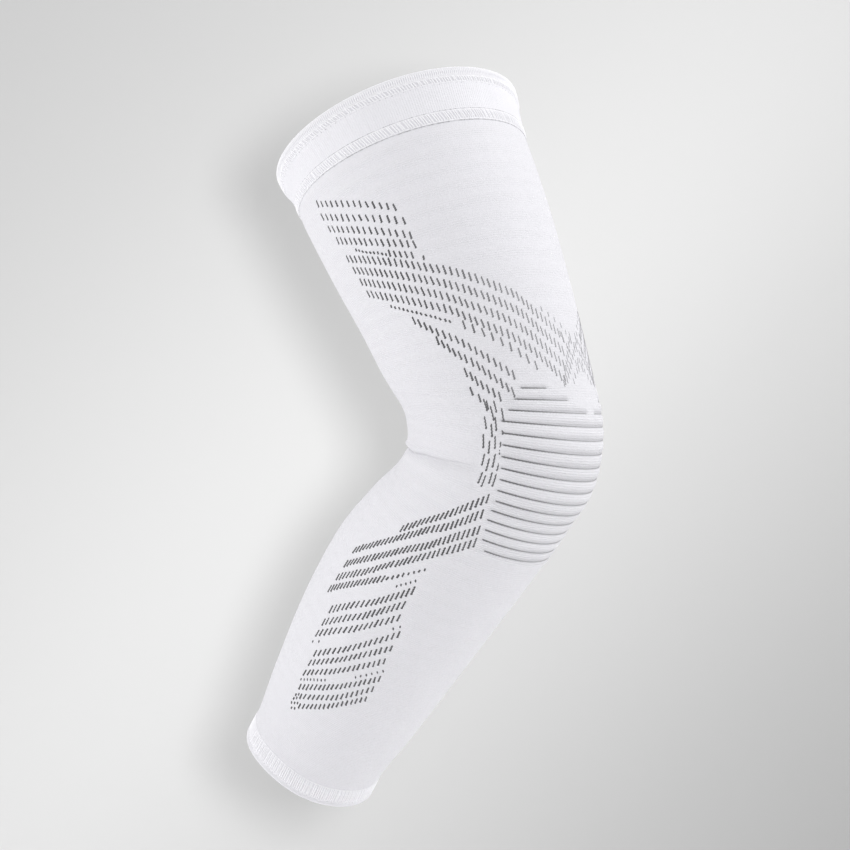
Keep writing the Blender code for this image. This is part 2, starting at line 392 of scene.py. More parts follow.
class Nodes:
    """Short calls for building a material's node tree."""

    def __init__(self, name):
        self.material = bpy.data.materials.new(name)
        self.material.use_nodes = True
        self.tree = self.material.node_tree
        self.shader = self.tree.nodes["Principled BSDF"]

    def add(self, kind, **settings):
        node = self.tree.nodes.new(kind)
        for key, value in settings.items():
            setattr(node, key, value)
        return node

    def plug(self, socket, value):
        if isinstance(value, bpy.types.NodeSocket):
            self.tree.links.new(value, socket)
        else:
            socket.default_value = value

    def put(self, label, value):
        """Sets or links an input of the shader."""
        self.plug(self.shader.inputs[label], value)

    def math(self, operation, first, second=0.0):
        node = self.add("ShaderNodeMath", operation=operation)
        self.plug(node.inputs[0], first)
        self.plug(node.inputs[1], second)
        return node.outputs[0]

    def times(self, first, second):
        return self.math("MULTIPLY", first, second)

    def noise(self, vector, scale, detail=2.0, roughness=0.5):
        node = self.add("ShaderNodeTexNoise")
        self.plug(node.inputs["Vector"], vector)
        self.plug(node.inputs["Scale"], scale)
        self.plug(node.inputs["Detail"], detail)
        self.plug(node.inputs["Roughness"], roughness)
        return node.outputs[0]

    def mix(self, share, first, second):
        node = self.add("ShaderNodeMix", data_type="RGBA")
        self.plug(node.inputs[0], share)
        self.plug(node.inputs[6], first)
        self.plug(node.inputs[7], second)
        return node.outputs[2]

    def wave(self, value, period):
        """A smooth wave from 0 to 1 along this value."""
        wave = self.math("SINE", self.times(value, TURN / period))
        return self.math("ADD", self.times(wave, 0.5), 0.5)

    def bump(self, height, distance):
        node = self.add("ShaderNodeBump")
        self.plug(node.inputs["Height"], height)
        self.plug(node.inputs["Distance"], distance)
        self.plug(node.inputs["Strength"], 1.0)
        self.put("Normal", node.outputs[0])

    def position(self):
        return self.add("ShaderNodeTexCoord").outputs["Object"]

    def turns_and_along(self):
        split = self.add("ShaderNodeSeparateXYZ")
        self.plug(split.inputs[0], self.add("ShaderNodeUVMap", uv_map="UVMap").outputs[0])
        return split.outputs[0], split.outputs[1]

    def attribute(self, label):
        return self.add("ShaderNodeAttribute", attribute_name=label).outputs["Fac"]

    def within_one(self, value):
        """The value, cut to the range from 0 to 1."""
        return self.math("MAXIMUM", self.math("MINIMUM", value, 1.0), 0.0)


def grey(value, blue=0.0):
    """A neutral grey, or one with the cool tint of the cloth where blue is 1."""
    return (value * (1 + 0.008 * blue), value, value * (1 + 0.048 * blue), 1)


def cloth_finish(nodes, sheen, roughness=0.85):
    """The soft sheen and low shine of cloth and yarn."""
    nodes.put("Sheen Weight", sheen)
    nodes.put("Sheen Roughness", 0.4)
    nodes.put("Specular IOR Level", 0.25)
    nodes.put("Roughness", roughness)


def stitch_height(nodes, turns, along, wales, course):
    """Height of plain knitting: two slanted strands a wale, one course every so many metres."""
    wale = nodes.math("FRACT", nodes.times(turns, wales))
    from_middle = nodes.math("ABSOLUTE", nodes.math("SUBTRACT", wale, 0.5))
    step = nodes.math("ADD", nodes.times(along, 1 / course), from_middle)
    strand = nodes.math("ABSOLUTE", nodes.math("SINE", nodes.times(wale, TURN)))
    loop = nodes.math("ABSOLUTE", nodes.math("SINE", nodes.times(step, math.pi)))
    return nodes.times(nodes.math("POWER", strand, 0.5), nodes.math("POWER", loop, 0.6))


def knit_material():
    """Fine plain knitting with soft course lines, clear ribs on the knee's panel, painted highlight on its
    raised strands, and the painted shade of "shade".
    """
    nodes = Nodes("knit_white")
    turns, along = nodes.turns_and_along()
    place = nodes.position()
    soft = nodes.noise(place, 30.0)
    fine = nodes.noise(place, 900.0, 3.0)
    patches = nodes.noise(place, 55.0, 2.0)
    stitches = stitch_height(nodes, turns, along, KNIT_WALES, KNIT_COURSE)
    courses = nodes.wave(along, COURSE_LINES)
    ribs = nodes.wave(along, RIB_PITCH / 5)
    panel = nodes.attribute("panel")
    plain = nodes.math("SUBTRACT", 1.0, panel)
    panel_ribs = nodes.times(nodes.times(ribs, panel), 1.7)
    lines = nodes.math("ADD", nodes.times(courses, nodes.times(plain, patches)), panel_ribs)
    height = nodes.math("ADD", nodes.math("ADD", stitches, lines), nodes.times(fine, 0.5))
    nodes.bump(height, CLOTH_BUMP)
    dull, plain_grey, raised_highlight = (grey(value, 1) for value in KNIT_GREYS)
    base = nodes.mix(soft, dull, plain_grey)
    specks = nodes.times(nodes.math("SUBTRACT", fine, 0.5), 0.9)
    # Painted light and shade of the relief: raised stitches, course lines and ribs lighter, hollows darker;
    # the specks are the yarn's own tone
    grain_and_relief_light = nodes.math("ADD", nodes.times(stitches, 0.45), nodes.times(lines, 0.45))
    grain_and_relief_light = nodes.math("ADD", grain_and_relief_light, specks)
    woven = nodes.mix(nodes.within_one(grain_and_relief_light), base, raised_highlight)
    # Painted shade: "shade" darkens the cloth beside the stripes and in the fold behind the knee
    shaded = nodes.mix(nodes.attribute("shade"), woven, grey(SHADE_GREY, 1))
    nodes.put("Base Color", shaded)
    cloth_finish(nodes, 0.25)
    return nodes.material


def band_material():
    """Denser knitting with fine upright ribs, painted lighter where they stand raised."""
    nodes = Nodes("band_white")
    turns, along = nodes.turns_and_along()
    place = nodes.position()
    soft = nodes.noise(place, 40.0)
    fine = nodes.noise(place, 1100.0, 3.0)
    stitches = stitch_height(nodes, turns, along, BAND_WALES, BAND_COURSE)
    wales = nodes.math("ABSOLUTE", nodes.math("SINE", nodes.times(turns, BAND_RIBS * TURN)))
    height = nodes.math("ADD", nodes.math("ADD", stitches, wales), nodes.times(fine, 0.5))
    nodes.bump(height, CLOTH_BUMP)
    dull, plain_grey, raised_highlight = (grey(value, 1) for value in BAND_GREYS)
    base = nodes.mix(soft, dull, plain_grey)
    specks = nodes.times(nodes.math("SUBTRACT", fine, 0.5), 0.8)
    # Painted light and shade of the relief: raised wales lighter, hollows darker; the specks are the yarn's
    # own tone
    grain_and_relief_light = nodes.math("ADD", nodes.times(wales, nodes.times(soft, 1.1)), specks)
    nodes.put("Base Color", nodes.mix(nodes.within_one(grain_and_relief_light), base, raised_highlight))
    cloth_finish(nodes, 0.2)
    return nodes.material


def yarn_material(name, dark, light, scale, sheen, roughness):
    """A yarn or thread of fine fibres between two greys, which fades where the attribute "pale" says so."""
    nodes = Nodes(name)
    place = nodes.position()
    fibres = nodes.noise(place, scale, 4.0, 0.65)
    nodes.bump(fibres, YARN_BUMP)
    faded = nodes.mix(nodes.attribute("pale"), nodes.mix(fibres, dark, light), grey(PALE_YARN_GREY, 1))
    nodes.put("Base Color", faded)
    cloth_finish(nodes, sheen, roughness)
    return nodes.material


KNIT = knit_material()
BAND = band_material()
THREAD = yarn_material("thread_white", grey(0.86, 0.7), grey(0.93, 0.7), 1500.0, 0.15, 0.7)
THREAD_BED = yarn_material("thread_bed", grey(0.70, 1), grey(0.80, 1), 1300.0, 0.1, 0.9)
# Painted shade: the dark grey of the dots and lines beside the stitching
PAINTED_SHADE = yarn_material("painted_shade_marks", grey(0.38, 1), grey(0.54, 1), 1500.0, 0.0, 0.9)
YARN = yarn_material("yarn_grey", grey(0.055, 1), grey(0.13, 1), 1800.0, 0.1, 0.8)
STRIPE_YARN = yarn_material("stripe_grey", grey(0.13, 1), grey(0.22, 1), 1800.0, 0.1, 0.8)


# Knitted tube

def panel_share(along, angle):
    """1 on the ribbed panel across the knee and 0 off it."""
    turn = turn_from_pattern(angle)
    top = PANEL_TOP - PANEL_DIP * (1 - smooth_between(6, 34, turn))
    above_foot = smooth_between(PANEL_FOOT, PANEL_FOOT + 2, along / MM)
    under_top = 1 - smooth_between(top - 1.5, top + 1.5, along / MM)
    return above_foot * under_top * (1 - smooth_between(*PANEL_HALF_ANGLES, turn))


def stripe_shares(angle):
    """For each stripe, 1 where it runs at this angle and 0 beyond its ends, softly over three degrees."""
    turn = turn_from_pattern(angle)
    shares = []
    for half, notch in zip(STRIPE_HALF_ANGLES, NOTCH_HALF_ANGLES):
        share = 1 - smooth_between(half - 1.5, half + 1.5, turn)
        if notch:
            share = share * smooth_between(notch - 1.5, notch + 1.5, turn)
        shares.append(share)
    return shares


def knit_relief(along, angle):
    """Grooves that the stripes pull into the panel, and the soft ridges between them."""
    total = 0
    for place, share in zip(STRIPE_PLACES, stripe_shares(angle)):
        near = np.clip(1 - np.abs(along - place) / GROOVE_REACH, 0, 1)
        total = total - GROOVE_DEPTH * near ** 1.5 * share
        ridge = np.clip(1 - np.abs(along - place + RIB_PITCH * 0.42) / (RIB_PITCH * 0.5), 0, 1)
        total = total + RIDGE_HEIGHT * ridge * (2 - ridge) * share
    return total


def knit_shade(along, angle):
    """Painted shade over each stripe, where the cloth turns into the groove, partly also grey yarn showing
    through, and painted shade in the fold behind the knee.
    """
    front = 1 - smooth_between(8, 50, turn_from_pattern(angle))
    pairs = (SHADE_ABOVE, SHADE_REACH, SHADE_FALL)
    strength, reach, fall = (beside + (middle - beside) * front for beside, middle in pairs)
    total = 0
    for place, share in zip(STRIPE_PLACES, stripe_shares(angle)):
        above = np.clip(1 - (along - place) / reach, 0, 1)
        total = total + np.where(along > place, above ** fall, 0) * share * strength
        below = np.clip(1 - (place - along) / SHADE_BELOW_REACH, 0, 1)
        total = total + np.where(along <= place, below, 0) * share * SHADE_BELOW
    turn = turn_from_front(angle)
    under = fold_line(turn) - along
    crease = CREASE_SHADE * np.clip(1 - np.abs(under) / CREASE_HALF_WIDTH, 0, 1)
    slope = SLOPE_SHADE * smooth_between(0.4 * MM, 1.6 * MM, under)
    slope = slope * smooth_between(8.5 * MM, 2.0 * MM, under)
    slope = slope * smooth_between(68, 92, turn) * (1 - smooth_between(100, 128, turn))
    return np.clip(total + crease * smooth_between(70, 92, turn) + slope, 0, 1)


def even(low, high, step):
    """Evenly spaced values from low to high, at most this step apart."""
    return np.linspace(low, high, max(math.ceil((high - low) / step), 1) + 1)


def knitted_tube():
    """The tube of knitting, with close rows across the panel and, on the inside, at the fold."""
    bottom = -CALF_LENGTH + HEM_HEIGHT - 1.0 * MM
    top = THIGH_LENGTH - BAND_HEIGHT + 1.0 * MM
    fine_bottom, fine_top = PANEL_FOOT * MM, (PANEL_TOP + 1) * MM
    fold_bottom = -24 * MM
    outer = np.concatenate([
        even(bottom, fine_bottom, PLAIN_STEP)[:-1],
        even(fine_bottom, fine_top, PANEL_STEP),
        even(fine_top, top, PLAIN_STEP)[1:],
    ])
    inner = np.concatenate([
        even(bottom, fold_bottom, INSIDE_STEP)[:-1],
        even(fold_bottom, 0, INSIDE_FOLD_STEP),
        even(0, top, INSIDE_STEP)[1:],
    ])
    profile = [(s, 0.0) for s in outer] + [(s, -KNIT_WALL) for s in inner[::-1]]
    # "shade" carries the painted shade beside the stripes and in the fold
    shades = {"panel": panel_share, "shade": knit_shade}
    cloth_ring("sleeve_knit", profile, KNIT, "knit_sleeve", knit_relief, shades)


def knee_stripes():
    """Grey yarn strands in the grooves, each a row of small stitches that thins out towards the front."""
    strands = []
    for place, half, notch in zip(STRIPE_PLACES, STRIPE_HALF_ANGLES, NOTCH_HALF_ANGLES):
        for side in (-1, 1):
            turn = np.linspace(notch, half, STRIPE_POINTS)
            lump = np.abs(np.sin(turn * STITCHES_PER_DEGREE * math.pi))
            to_end = np.minimum(half - turn, turn - notch) if notch else half - turn
            ends = np.clip(to_end / 1.6, 0.05, 1) ** 0.5
            uneven = RANDOM.uniform(0.84, 1.16, len(turn))
            body = (0.52 + 0.48 * smooth_between(12, 46, turn)) * ends * uneven * MM
            strands.append((
                place + 0.05 * MM * np.sin(turn * 3.1), np.radians(PATTERN_CENTRE + side * turn),
                (0.16 + 0.10 * lump) * body, (0.44 + 0.10 * lump) * body, np.interp(turn, *FADE_OF_STRIPES)))
    along, angle, thick, wide, pale = (np.array(column) for column in zip(*strands))
    tubes("knee_stripes", along, angle, -0.30 * MM, thick, wide, STRIPE_YARN, pale=pale)


# Rows of knitted-in dashes: the number of dashes, their length in mm, then the row's course as points of
# (degrees from the front, mm along the leg). Rows run on one side of the leg and are mirrored to the other.
DASH_ROWS = (
    # Above the knee, outer end
    (14, 4.4, (117, 165), (96, 151), (78, 138.5)),
    (14, 4.6, (118, 156.5), (102, 145.5), (89, 137.5), (76.5, 129.5)),
    (15, 4.6, (117, 147.5), (98, 135), (84, 126), (76, 120.5)),
    (15, 4.6, (115, 138), (96, 126), (84, 119.5), (76, 115)),
    (5, 4.0, (89, 115.5), (84, 112.5), (79, 110)),
    # Above the knee, inner strands
    (17, 4.8, (92, 74.5), (84, 66.5), (74, 59), (65, 50.5), (57, 43), (52, 38.5)),
    (14, 5.0, (84, 60.5), (78, 52.5), (70, 45.5), (63, 38), (55, 30)),
    (7, 5.2, (76, 41), (70, 33.5), (63, 27.5)),
    (3, 4.8, (77, 30.5), (71, 23)),
    (9, 4.6, (68, 66.5), (57, 59), (47, 51), (38, 43)),
    # Below the knee, long strands
    (19, 5.6, (65, -23), (70, -28.5), (77, -36.5), (82, -42.5), (91, -52), (99, -63)),
    (31, 5.6, (63, -32), (69, -38.5), (76, -46.5), (86, -55), (96, -67), (108, -82.5), (118, -96)),
    (33, 5.6, (59.5, -40.8), (72, -53), (80, -62.5), (91, -73), (103, -88.5), (118, -107)),
    (32, 5.6, (57, -48), (70, -60.5), (81, -72.5), (92, -84.5), (104, -101.5), (118, -117.5)),
    (16, 5.2, (92, -96), (106, -112.5), (119, -127.5)),
    # Calf, three groups
    (18, 5.8, (72, -91), (82, -103.5), (96, -119.5), (110, -136)),
    (18, 5.8, (72, -102), (92, -125.5), (110, -146)),
    (17, 5.6, (70, -111), (91, -134.5), (110, -155)),
    (17, 5.0, (64, -120.5), (84, -144), (104, -166)),
    (18, 4.8, (63, -131), (81, -150), (104, -173.5)),
    (18, 4.6, (62, -141), (82, -161.5), (104, -181.5)),
    (19, 4.6, (58, -153.5), (78, -172.5), (102, -191.5)),
    (16, 4.4, (58, -162), (76, -180.5), (98, -196)),
    (16, 4.0, (58, -170.5), (78, -189.5), (95, -202)),
    # Dots
    (9, 1.7, (106, 126.5), (101, 122), (94, 118), (91, 115.5)),
    (1, 2.6, (74.5, 106.5), (74.5, 106.5)),
    (14, 1.7, (101, 86.5), (88, 78), (74, 69.5)),
    (4, 1.8, (73, -76), (80, -83.5)),
    (4, 3.0, (82.5, -86), (90, -94)),
    (5, 1.3, (74, -85), (82, -94.5)),
    (2, 1.3, (110, -161.5), (106, -158)),
    (2, 1.3, (66, -115.5), (69, -119)),
    (8, 1.3, (104, -187), (89, -175)),
    (6, 1.3, (59, -147.5), (72, -160.5)),
    (2, 1.8, (102, -198), (100, -196)),
    (2, 1.8, (102, -201), (100, -199)),
    (3, 1.6, (102, -204.5), (97.5, -201.5)),
    (2, 1.6, (100, -207.5), (97.5, -206)),
)

# Thinner strands beside the knee, in the same form
SIDE_ROWS = (
    (5, 6.8, (72, 23), (76, 5.5), (74, -14)),
    (5, 7.0, (69.5, 19), (72.5, 2.5), (71.5, -15)),
    (5, 6.6, (67, 22.5), (69.5, 6), (68.5, -12.5)),
    (5, 6.8, (64, 18.5), (66.5, 2.5), (66, -13)),
)

# Fine, lighter strands that cross in the middle of the thigh, in the same form
FINE_ROWS = (
    (11, 3.2, (2, 57.5), (-6, 45.5), (-13, 34.5)),
    (10, 3.2, (8, 55), (-2, 45.5), (-10, 36)),
    (7, 2.8, (16, 58), (12, 50), (7, 41.5)),
    (5, 2.6, (4, 45.5), (9, 41), (15, 35.5)),
    (6, 2.6, (25, 70.5), (14, 62.5), (8, 55.5)),
)

# The four strands that cross the thigh: courses of the outermost and the innermost, with two spread evenly
# between them, the dashes in each, and their length in mm
CROSSING_OUTER = ((114, 125), (73, 100), (63, 95), (48, 85), (38, 79), (30, 69.5), (15, 56.5))
CROSSING_INNER = ((112, 99.5), (70, 74.5), (61, 67), (47, 58.5), (38, 51), (27, 40.5), (22, 36))
CROSSING_COUNTS = (41, 40, 38, 36)
CROSSING_LENGTH = 5.0


def course_points(course, count):
    """This many points spread evenly over the course, as (degrees, mm)."""
    course = np.array(course, float)
    steps = np.hypot(np.diff(course[:, 0]) * MM_PER_DEGREE, np.diff(course[:, 1]))
    travelled = np.concatenate([[0], np.cumsum(steps)])
    places = np.linspace(0, travelled[-1], count)
    return np.stack([np.interp(places, travelled, course[:, i]) for i in (0, 1)], -1)


def both_sides(dashes):
    """The dashes, as (degrees, mm along, length in mm), and their mirror images on the leg's other side."""
    dashes = np.array(dashes)
    return np.concatenate([dashes, dashes * (-1, 1, 1) + (2 * PATTERN_CENTRE, 0, 0)])


def row_dashes(rows):
    """The rows' dashes, as (degrees, mm along, length in mm)."""
    return [(*place, length) for count, length, *course in rows for place in course_points(course, count)]


def crossing_dashes():
    """The dashes of the strands that cross the thigh, in the same form."""
    outer, inner = (np.array(course, float) for course in (CROSSING_OUTER, CROSSING_INNER))
    found = []
    for row, count in enumerate(CROSSING_COUNTS):
        course = outer + (inner - outer) * row / (len(CROSSING_COUNTS) - 1)
        found += [(*place, CROSSING_LENGTH) for place in course_points(course, count)]
    return found


def paleness(dashes):
    """How far each dash fades: not at all beside the leg and more towards its front, above the knee most."""
    turn = np.abs(dashes[:, 0:1] - PATTERN_CENTRE) + PATTERN_CENTRE
    above = np.interp(turn, *FADE_ABOVE_KNEE)
    below = np.interp(turn, *FADE_BELOW_KNEE)
    return below + (above - below) * smooth_between(-28, -12, dashes[:, 1:2])


def calf_lean(dashes):
    """How far each dash's upper end leans to the back, in degrees: only below the knee, near the front."""
    from_centre = dashes[:, 0:1] - PATTERN_CENTRE
    turn = np.abs(from_centre) + PATTERN_CENTRE
    place, length = dashes[:, 1:2], dashes[:, 2:3]
    most = (0.46 + 0.30 * smooth_between(-80, -50, place)) * smooth_between(1.0, 5.0, length)
    return np.sign(from_centre) * most * smooth_between(94, 60, turn) * smooth_between(-16, -26, place)


def lay_dashes(name, dashes, half_width):
    """Each dash is a short strand of four slanted stitches, a little heavier at its lower end."""
    count = len(dashes)
    share = np.linspace(-1, 1, DASH_POINTS)[None, :]
    length = dashes[:, 2:3] * RANDOM.uniform(0.92, 1.08, (count, 1))
    long_dash = np.clip(length / 4.4, 0.3, 1)
    along = (dashes[:, 1:2] + RANDOM.uniform(-0.12, 0.12, (count, 1)) + share * length / 2) * MM
    lumps = np.abs(np.sin((share * 2 * long_dash + 0.13) * math.pi))
    lean = 0.16 * np.sin(share * math.pi * 4 * long_dash) + RANDOM.uniform(-0.18, 0.18, (count, 1)) * share
    lean = lean + calf_lean(dashes) * share
    angle = np.radians(dashes[:, 0:1] + lean + RANDOM.uniform(-0.14, 0.14, (count, 1)))
    ends = np.where(np.abs(share) > 0.99, 0.5, 1.0)
    foot = 1 + 0.30 * smooth_between(-0.45, -0.85, share) * (long_dash > 0.6)
    pale = paleness(dashes)
    body = half_width * (1 - 0.42 * pale) * RANDOM.uniform(0.88, 1.12, (count, 1))
    wide = body * (0.80 + 0.36 * lumps) * ends * foot * MM
    thick = (0.12 + 0.06 * lumps) * ends * MM
    tubes(name, along, angle, 0.0, thick, wide, YARN, sides=5, pale=pale)


def knit_dashes():
    """The whole pattern of dashes, as three pieces by their thickness."""
    lay_dashes("knit_dashes", both_sides(row_dashes(DASH_ROWS) + crossing_dashes()), DASH_WIDTH)
    lay_dashes("knit_side_dashes", both_sides(row_dashes(SIDE_ROWS)), SIDE_DASH_WIDTH)
    lay_dashes("knit_fine_dashes", both_sides(row_dashes(FINE_ROWS)), FINE_DASH_WIDTH)


# Thigh band, hem and their stitching

DOUBLED_EXTRA = (DOUBLED_WALL - KNIT_WALL) / 2

# Rolled edge of the hem, as mm up from its end and mm out from the hem's face
HEM_ROLL = ((0.1, -0.6), (0, -0.1), (0.4, 0.35), (1.1, 0.5), (1.8, 0.35), (2.3, 0.02), (2.9, 0.12))


def band_cloth():
    """The doubled band, with its rounded rim and a lower edge that runs out over the knitting."""
    bottom, top = THIGH_LENGTH - BAND_HEIGHT - 3.2 * MM, THIGH_LENGTH - 0.5 * MM
    edge = 0.12 * MM
    rows = even(bottom, top, 1.4 * MM)
    profile = [(s, edge + (DOUBLED_EXTRA - edge) * min((s - bottom) / (2 * MM), 1)) for s in rows]
    profile += [(top + 0.45 * MM, DOUBLED_EXTRA - 0.5 * MM), (top + 0.45 * MM, -KNIT_WALL)]
    profile += [(s, -KNIT_WALL - DOUBLED_EXTRA) for s in rows[::-1]]
    cloth_ring("band_cloth", profile, BAND, "thigh_band")


def hem_cloth():
    """The doubled hem, with its rolled edge and an upper edge that runs out over the knitting."""
    bottom, top = -CALF_LENGTH, -CALF_LENGTH + HEM_HEIGHT + 2.6 * MM
    edge = 0.1 * MM
    profile = [(bottom + up * MM, DOUBLED_EXTRA + out * MM) for up, out in HEM_ROLL]
    profile += [(s, edge + (DOUBLED_EXTRA - edge) * min((top - s) / (3 * MM), 1))
                for s in even(bottom + 4.0 * MM, top, 1.2 * MM)]
    profile += [(s, -KNIT_WALL - DOUBLED_EXTRA) for s in even(bottom + 0.5 * MM, top, 1.5 * MM)[::-1]]
    cloth_ring("hem_cloth", profile, BAND, "calf_hem")


# Rings of stitching: lower and upper edge along the leg, lift of the bed at each, and its swelling between
RIM_STRIP = (THIGH_LENGTH - 8.4 * MM, THIGH_LENGTH - 0.6 * MM, 0.37 * MM, 0.37 * MM, 0.16 * MM)
RIM_MIDDLE = THIGH_LENGTH - 5.4 * MM
BAND_FOOT = THIGH_LENGTH - BAND_HEIGHT
SEAM_STRIP = (BAND_FOOT - 3.6 * MM, BAND_FOOT + 1.9 * MM, 0.06 * MM, 0.37 * MM, 0.18 * MM)
HEM_STRIP = (-CALF_LENGTH + 3.6 * MM, -CALF_LENGTH + 13.4 * MM, 0.44 * MM, 0.12 * MM, 0.10 * MM)

# Stitches round the leg in each ring, and the overlock's loops round the rim
RIM_STITCHES = 135
RIM_LOOPS = 190
SEAM_STITCHES = 140
HEM_STITCHES = 105

# Points along a closed thread's loop or stitch, a slanted thread, a dot of painted shade and a whole line of
# painted shade
LOOP_POINTS = 8
THREAD_POINTS = 9
SHADE_DOT_POINTS = 4
LINE_POINTS = 560


def bed_lift(along, strip):
    """Lift of a strip's bed of thread: level with the cloth at both edges, a little swollen between them."""
    low, high, low_lift, high_lift, swell = strip
    share = np.clip((along - low) / (high - low), 0, 1)
    swollen = 1 - smooth_between(0.5, 1.0, np.abs(2 * share - 1))
    return low_lift + (high_lift - low_lift) * share + swell * swollen


def strip_bed(name, strip, node):
    """The soft bed of thread that a ring of stitching makes."""
    rows = even(strip[0], strip[1], 0.7 * MM)
    profile = list(zip(rows, bed_lift(rows, strip))) + [(s, -0.4 * MM) for s in rows[::-1]]
    cloth_ring(name, profile, THREAD_BED, node)


def zigzag(low, high, count, phase):
    """A zigzag thread round the leg, a little uneven from loop to loop: its along and angle at each point."""
    share = np.linspace(0, 1, count * LOOP_POINTS, endpoint=False)
    wave = np.sin(TURN * (share * count + phase))
    wave = np.sign(wave) * np.abs(wave) ** 0.75
    loops = np.repeat(RANDOM.uniform(-0.07, 0.07, count), LOOP_POINTS)
    reach = (high - low) / 2 * (1 + np.roll(loops, int(phase * LOOP_POINTS)))
    return (low + high) / 2 + reach * wave, TURN * share


def comb(name, strip, low, high, count, radius):
    """Two zigzag threads that cross each other between low and high along the leg."""
    rows = []
    for phase in (0, 0.5):
        along, angle = zigzag(low, high, count, phase)
        wave = np.linspace(0, 1, len(along), endpoint=False) * count * 2
        hump = 0.5 + 0.5 * np.cos(TURN * (wave + 2 * phase))
        body = radius * RANDOM.uniform(0.9, 1.1, len(along))
        rows.append((along, angle, bed_lift(along, strip) + radius * 0.35 * hump, body * 0.8, body))
    along, angle, height, thick, wide = (np.array(column) for column in zip(*rows))
    tubes(name, along, angle, height, thick, wide, THREAD, closed=True)


def edge_lumps(name, strip, edges):
    """Lines of small lumps round the leg. Each edge is its place along the leg, its count and half width."""
    for number, (place, count, radius) in enumerate(edges, 1):
        share = np.linspace(0, 1, count * LOOP_POINTS, endpoint=False)[None, :]
        lump = 0.35 + 0.65 * np.abs(np.sin(math.pi * share * count)) ** 0.5
        size = radius * lump * np.repeat(RANDOM.uniform(0.75, 1.15, count), LOOP_POINTS)
        tubes(f"{name}_{number}", place, TURN * share, bed_lift(place, strip), size * 0.7, size, THREAD,
              closed=True)


def slanted_threads(name, strip, low, high, count, reach, radius):
    """Threads that cross the strip aslant, in pairs with a gap after each pair. Reach is how far round the
    leg, in turns, a thread's upper end lies from its lower end."""
    start = (np.arange(count)[:, None] + (0, 0.40)).ravel() / count
    start = start[:, None] + RANDOM.uniform(-0.08, 0.08, (2 * count, 1)) / count
    share = np.linspace(0, 1, THREAD_POINTS)[None, :]
    along = low + (high - low) * share
    angle = TURN * (start + reach * (share - 0.5))
    lift = bed_lift(along, strip) + radius * 0.3 * np.sin(math.pi * share)
    ends = np.where(np.abs(share - 0.5) > 0.49, 0.5, 1.0) * RANDOM.uniform(0.88, 1.1, (2 * count, 1))
    tubes(name, along, angle, lift, radius * 0.7 * ends, radius * ends, THREAD)


def painted_shade_marks(name, places, count, lift, half_width):
    """Small dark dots of painted shade beside the stitching."""
    even_turns = np.arange(count) * 360.0 / count
    degrees = np.concatenate([even_turns + RANDOM.uniform(-0.15, 0.15, count) for _ in places])
    along = np.repeat(places, count)[:, None]
    share = np.linspace(-1, 1, SHADE_DOT_POINTS)[None, :]
    size = RANDOM.uniform(0.35, 1.2, (len(degrees), 1))
    angle = np.radians(degrees[:, None] + share * 0.32 * size)
    ends = np.where(np.abs(share) > 0.99, 0.4, 1.0) * size
    tubes(name, along, angle, lift, 0.10 * MM * ends, half_width * ends, PAINTED_SHADE)


def painted_shade_line(name, place, lift, half_width):
    """A thin, broken grey line of painted shade beside a row of stitches. It fades behind the leg."""
    share = np.linspace(0, 1, LINE_POINTS, endpoint=False)[None, :]
    fade = 1 - smooth_between(100, 128, turn_from_front(TURN * share))
    rough = np.convolve(RANDOM.uniform(-0.3, 1.9, LINE_POINTS + 2), (0.25, 0.5, 0.25), "valid")[None, :]
    size = half_width * np.clip(rough, 0.15, 1.4) * (0.08 + 0.92 * fade)
    sunk = lift - 0.05 * MM * (1 - fade)
    tubes(name, place, TURN * share, sunk, 0.08 * MM, size, PAINTED_SHADE, closed=True)


def rim_stitching():
    """The overlock round the rim: slanted threads, a zigzag up to the edge, and lines of lumps between."""
    low, high = RIM_STRIP[:2]
    rows = (
        (low, RIM_STITCHES, 0.36 * MM),
        (RIM_MIDDLE, RIM_STITCHES, 0.46 * MM),
        (high, RIM_LOOPS, 0.34 * MM),
    )
    strip_bed("rim_bed", RIM_STRIP, "thigh_rim_stitch")
    comb("rim_comb", RIM_STRIP, RIM_MIDDLE, high, RIM_LOOPS, 0.30 * MM)
    slanted_threads("rim_threads", RIM_STRIP, low, RIM_MIDDLE, RIM_STITCHES, 0.003, 0.46 * MM)
    edge_lumps("rim_edge", RIM_STRIP, rows)
    # Dots of painted shade below the overlock
    painted_shade_marks("rim_painted_shade_dots", (low - 0.7 * MM,), RIM_STITCHES, 0.34 * MM, 0.15 * MM)


def seam_stitching():
    """The flat seam that joins band and knitting."""
    low, high = SEAM_STRIP[:2]
    rows = ((low, SEAM_STITCHES, 0.50 * MM), (high, SEAM_STITCHES, 0.46 * MM))
    shade_dot_rows = (high + 0.75 * MM, low - 0.8 * MM)
    strip_bed("seam_bed", SEAM_STRIP, "band_seam_stitch")
    slanted_threads("seam_threads", SEAM_STRIP, low, high, SEAM_STITCHES, 0.005, 0.48 * MM)
    edge_lumps("seam_edge", SEAM_STRIP, rows)
    # Dots of painted shade above and below the seam
    painted_shade_marks("seam_painted_shade_dots", shade_dot_rows, SEAM_STITCHES, 0.30 * MM, 0.26 * MM)
    # Thin lines of painted shade above and below the seam
    painted_shade_line("seam_top_shade_line", high + 0.6 * MM, 0.34 * MM, 0.13 * MM)
    painted_shade_line("seam_low_shade_line", low - 0.7 * MM, 0.02 * MM, 0.17 * MM)


